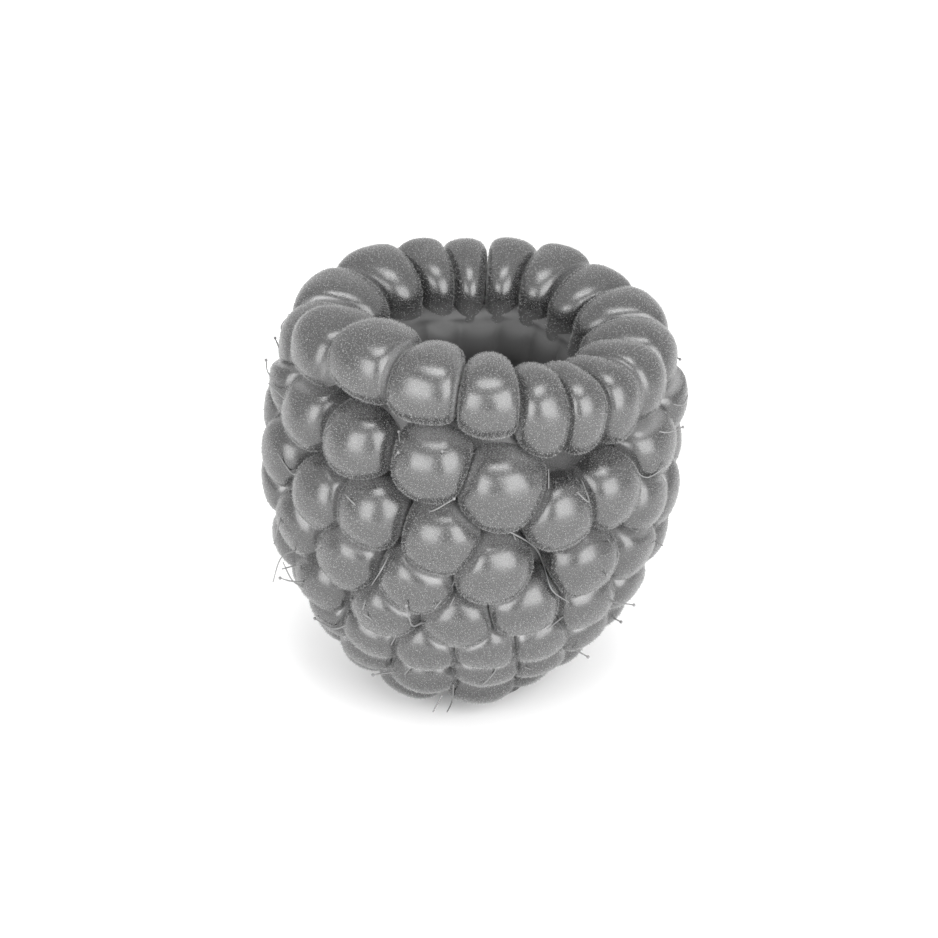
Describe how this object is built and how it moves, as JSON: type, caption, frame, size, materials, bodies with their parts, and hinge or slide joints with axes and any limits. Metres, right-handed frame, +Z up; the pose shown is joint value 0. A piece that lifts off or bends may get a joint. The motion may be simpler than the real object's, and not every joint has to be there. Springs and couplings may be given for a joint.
{
  "type": "raspberry",
  "caption": "Raspberry as picked: a cup of packed round drupelets with an open cavity at the top, standing on a small flat spot at its tip.",
  "frame": {"origin": "centre of the bounding box at its lowest plane, where the tip's flat spot rests on the surface", "axes": "+Z up towards the open mouth of the cavity, -Y towards the viewer of the picture, +X to the viewer's right; the fruit's own axis leans 4 degrees from +Z towards +X"},
  "size_m": [0.0212, 0.021, 0.0231],
  "materials": {
    "raspberry_skin": "soft satin skin with a fine velvet down, mid grey as in the monochrome photograph"
  },
  "bodies": {
    "root": {"raspberry": "raspberry_skin"}
  },
  "joints": []
}
